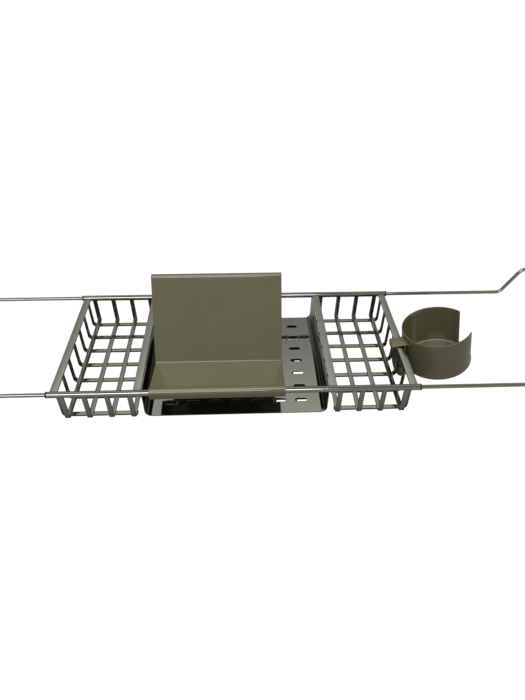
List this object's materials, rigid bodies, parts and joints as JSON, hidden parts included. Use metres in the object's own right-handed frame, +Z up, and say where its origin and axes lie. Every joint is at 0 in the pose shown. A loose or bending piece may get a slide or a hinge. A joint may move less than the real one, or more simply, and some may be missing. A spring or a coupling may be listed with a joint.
{
  "type": "bath caddy",
  "caption": "Expanding caddy that rests across a bathtub, with sliding arms, open baskets, a slotted tray, a book stand and a hook-on cup holder.",
  "frame": {"origin": "midway along and between the rails, at the height of the underside of the baskets' cross bars", "axes": "+X to the right along the rails, +Y to the back, +Z up"},
  "size_m": [0.949, 0.2126, 0.1372],
  "materials": {
    "polished_steel": "mirror-polished stainless steel",
    "olive_coat": "satin olive-grey powder coat on sheet steel",
    "black_plastic": "matte black",
    "black_rubber": "matte black"
  },
  "bodies": {
    "frame": {"front_rail": "polished_steel", "rear_rail": "polished_steel", "tray_pan": "polished_steel", "left_front_bush": "black_plastic", "left_rear_bush": "black_plastic", "right_front_bush": "black_plastic", "right_rear_bush": "black_plastic", "left_inner_rim_bar": "polished_steel", "left_outer_rim_bar": "polished_steel", "right_inner_rim_bar": "polished_steel", "right_outer_rim_bar": "polished_steel", "left_long_strip_1": "polished_steel", "left_long_strip_2": "polished_steel", "left_long_strip_3": "polished_steel", "left_long_strip_4": "polished_steel", "right_long_strip_1": "polished_steel", "right_long_strip_2": "polished_steel", "right_long_strip_3": "polished_steel", "right_long_strip_4": "polished_steel", "left_cross_bar_1": "polished_steel", "left_cross_bar_2": "polished_steel", "left_cross_bar_3": "polished_steel", "left_cross_bar_4": "polished_steel", "left_cross_bar_5": "polished_steel", "left_cross_bar_6": "polished_steel", "left_cross_bar_7": "polished_steel", "right_cross_bar_1": "polished_steel", "right_cross_bar_2": "polished_steel", "right_cross_bar_3": "polished_steel", "right_cross_bar_4": "polished_steel", "right_cross_bar_5": "polished_steel", "right_cross_bar_6": "polished_steel", "right_cross_bar_7": "polished_steel"},
    "left_arm": {"left_arm": "polished_steel", "left_front_stop_plug": "black_plastic", "left_rear_stop_plug": "black_plastic", "left_front_grip": "black_rubber", "left_rear_grip": "black_rubber"},
    "right_arm": {"right_arm": "polished_steel", "right_front_stop_plug": "black_plastic", "right_rear_stop_plug": "black_plastic", "right_front_grip": "black_rubber", "right_rear_grip": "black_rubber"},
    "book_stand": {"book_stand": "olive_coat"},
    "cup_holder": {"cup_holder": "olive_coat", "cup_clip": "olive_coat"}
  },
  "joints": [
    {"name": "left_arm_slide", "type": "slide", "parent": "frame", "child": "left_arm", "axis": [-1, 0, 0], "range_m": [-0.16, 0.025]},
    {"name": "right_arm_slide", "type": "slide", "parent": "frame", "child": "right_arm", "axis": [1, 0, 0], "range_m": [-0.16, 0.025]},
    {"name": "book_stand_slide", "type": "slide", "parent": "frame", "child": "book_stand", "axis": [1, 0, 0], "range_m": [-0.0092, 0.0532]},
    {"name": "cup_holder_slide", "type": "slide", "parent": "frame", "child": "cup_holder", "axis": [0, 1, 0], "range_m": [-0.033, 0.06]}
  ]
}
